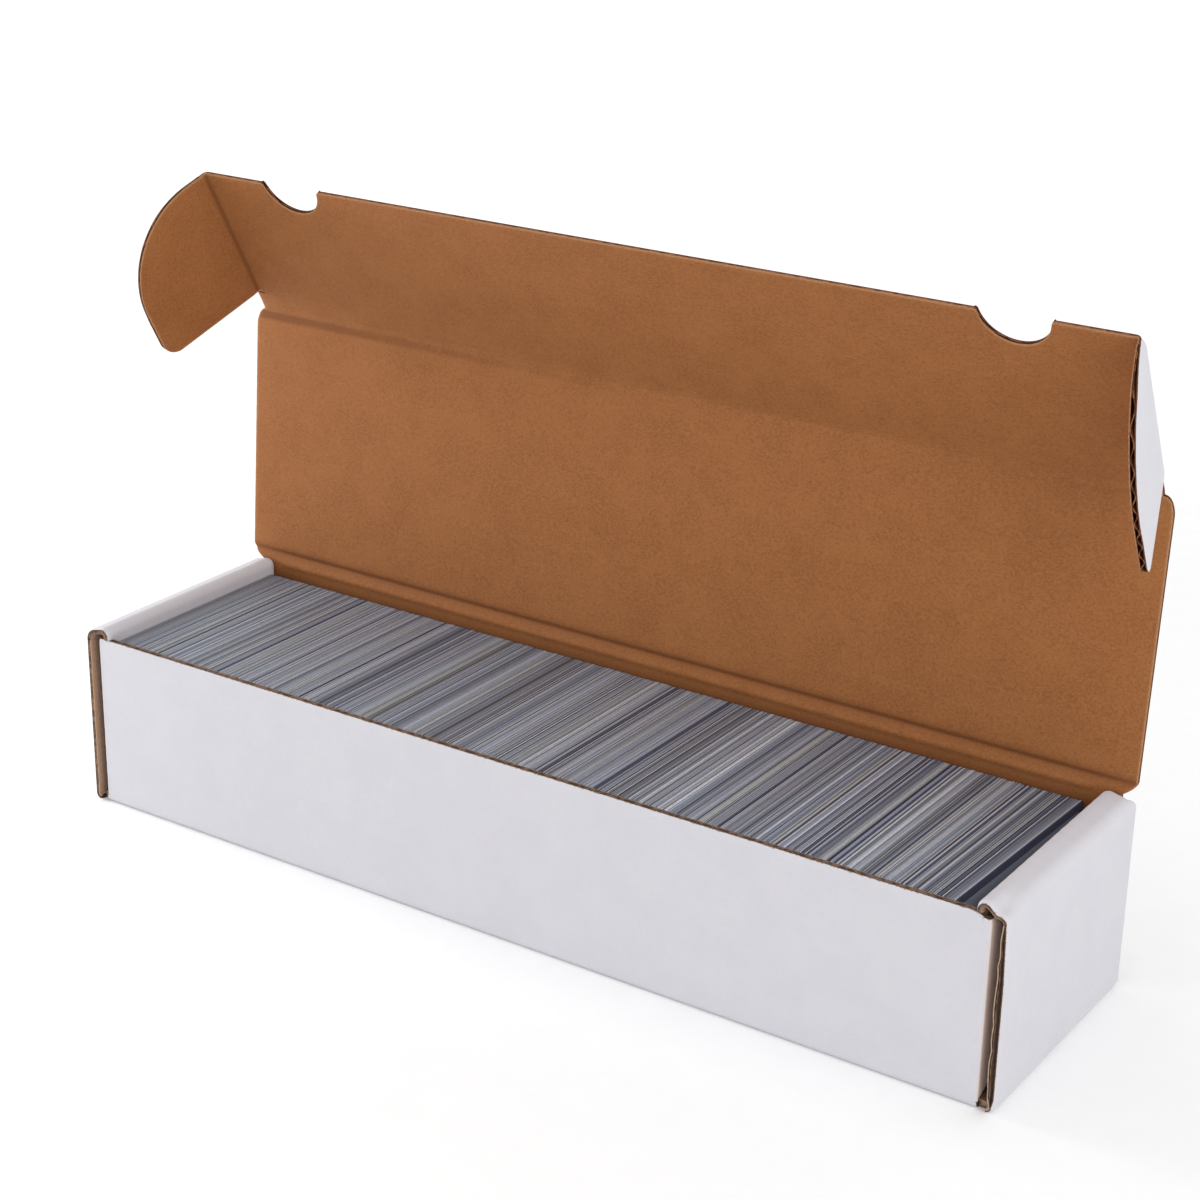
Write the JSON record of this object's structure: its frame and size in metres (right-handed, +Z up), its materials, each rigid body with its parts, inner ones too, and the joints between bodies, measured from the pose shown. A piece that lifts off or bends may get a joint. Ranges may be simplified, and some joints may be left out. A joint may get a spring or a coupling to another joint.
{
  "type": "card storage box",
  "caption": "Long corrugated box with a hinged lid, tuck flap and ears, rolled double side walls and a full row of cards on edge.",
  "frame": {"origin": "middle of the underside of the floor", "axes": "+X along the box to the right, -Y towards the front wall, +Z up"},
  "size_m": [0.3976, 0.1046, 0.2319],
  "materials": {
    "white_board": "white lined corrugated board, matte",
    "kraft_board": "brown kraft lined corrugated board, matte",
    "card_stock": "edges of coated card stock"
  },
  "bodies": {
    "tray": {"bottom_panel": "white_board", "front_wall": "white_board", "rear_wall": "kraft_board", "left_outer_wall": "white_board", "left_rim": "white_board", "left_inner_wall": "white_board", "front_left_corner_flap": "white_board", "rear_left_corner_flap": "white_board", "right_outer_wall": "white_board", "right_rim": "white_board", "right_inner_wall": "white_board", "front_right_corner_flap": "white_board", "rear_right_corner_flap": "white_board"},
    "lid": {"lid_panel": "kraft_board"},
    "tuck": {"tuck_flap": "kraft_board"},
    "left_ear": {"left_ear": "kraft_board"},
    "right_ear": {"right_ear": "kraft_board"},
    "cards_1": {"card_block_1": "card_stock"},
    "cards_2": {"card_block_2": "card_stock"},
    "cards_3": {"card_block_3": "card_stock"},
    "cards_4": {"card_block_4": "card_stock"},
    "cards_5": {"card_block_5": "card_stock"},
    "cards_6": {"card_block_6": "card_stock"},
    "cards_7": {"card_block_7": "card_stock"},
    "cards_8": {"card_block_8": "card_stock"}
  },
  "joints": [
    {"name": "lid_hinge", "type": "hinge", "parent": "tray", "child": "lid", "pos_m": [0, 0.04735, 0.0737], "axis": [-1, 0, 0], "range_deg": [-94, 86]},
    {"name": "tuck_fold", "type": "hinge", "parent": "lid", "child": "tuck", "pos_m": [0, 0.05426, 0.17246], "axis": [-1, 0, 0], "range_deg": [-57, 33]},
    {"name": "left_ear_fold", "type": "hinge", "parent": "tuck", "child": "left_ear", "pos_m": [-0.18475, 0.05426, 0.17246], "axis": [0, 0.4848, -0.8746], "range_deg": [-16.2, 73.8]},
    {"name": "right_ear_fold", "type": "hinge", "parent": "tuck", "child": "right_ear", "pos_m": [0.18475, 0.05426, 0.17246], "axis": [0, -0.4848, 0.8746], "range_deg": [-16.2, 73.8]},
    {"name": "cards_1_lift", "type": "slide", "parent": "tray", "child": "cards_1", "axis": [0, 0, 1], "range_m": [0, 0.075]},
    {"name": "cards_2_lift", "type": "slide", "parent": "tray", "child": "cards_2", "axis": [0, 0, 1], "range_m": [0, 0.075]},
    {"name": "cards_3_lift", "type": "slide", "parent": "tray", "child": "cards_3", "axis": [0, 0, 1], "range_m": [0, 0.075]},
    {"name": "cards_4_lift", "type": "slide", "parent": "tray", "child": "cards_4", "axis": [0, 0, 1], "range_m": [0, 0.075]},
    {"name": "cards_5_lift", "type": "slide", "parent": "tray", "child": "cards_5", "axis": [0, 0, 1], "range_m": [0, 0.075]},
    {"name": "cards_6_lift", "type": "slide", "parent": "tray", "child": "cards_6", "axis": [0, 0, 1], "range_m": [0, 0.075]},
    {"name": "cards_7_lift", "type": "slide", "parent": "tray", "child": "cards_7", "axis": [0, 0, 1], "range_m": [0, 0.075]},
    {"name": "cards_8_lift", "type": "slide", "parent": "tray", "child": "cards_8", "axis": [0, 0, 1], "range_m": [0, 0.075]}
  ]
}
